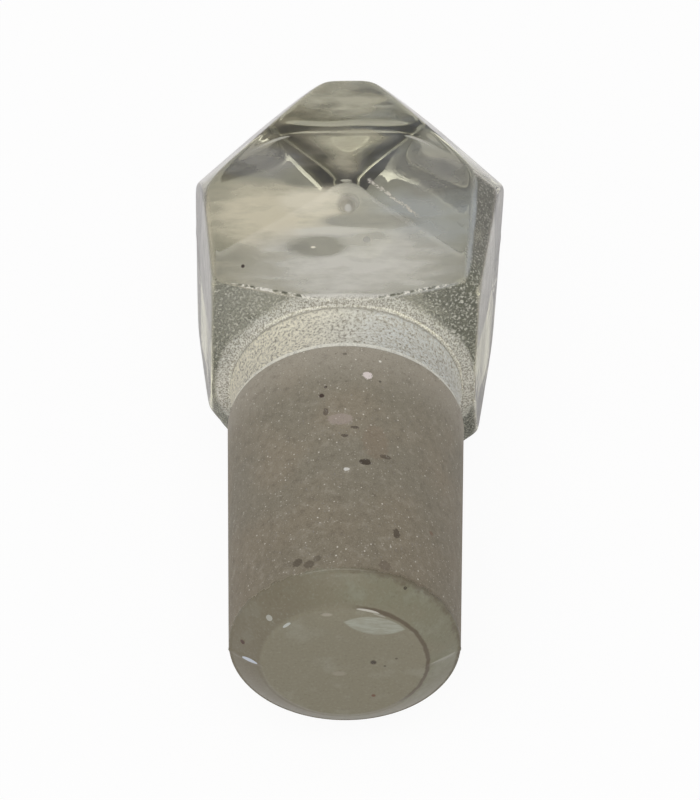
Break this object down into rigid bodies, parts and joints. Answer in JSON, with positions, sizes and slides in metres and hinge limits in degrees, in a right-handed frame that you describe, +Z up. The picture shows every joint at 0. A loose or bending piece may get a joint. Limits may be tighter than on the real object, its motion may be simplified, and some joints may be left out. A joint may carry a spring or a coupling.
{
  "type": "glass bottle stopper",
  "caption": "Pressed glass stopper with a ground taper plug and a flat head with cut corners, for closing a bottle's neck.",
  "frame": {"origin": "on the surface it lies on, under the middle of its bounding box", "axes": "+Z up, +Y from the plug's tip towards the head, lengthwise; the stopper's own axis is level and parallel to Y, 11.85 mm up"},
  "size_m": [0.0322, 0.0654, 0.0237],
  "materials": {
    "glass": "pressed greenish-grey glass; the plug is ground matt, the neck and the head's lower facets keep the pebbled skin of the mould, and the head's faces are polished"
  },
  "bodies": {
    "root": {"stopper": "glass"}
  },
  "joints": []
}
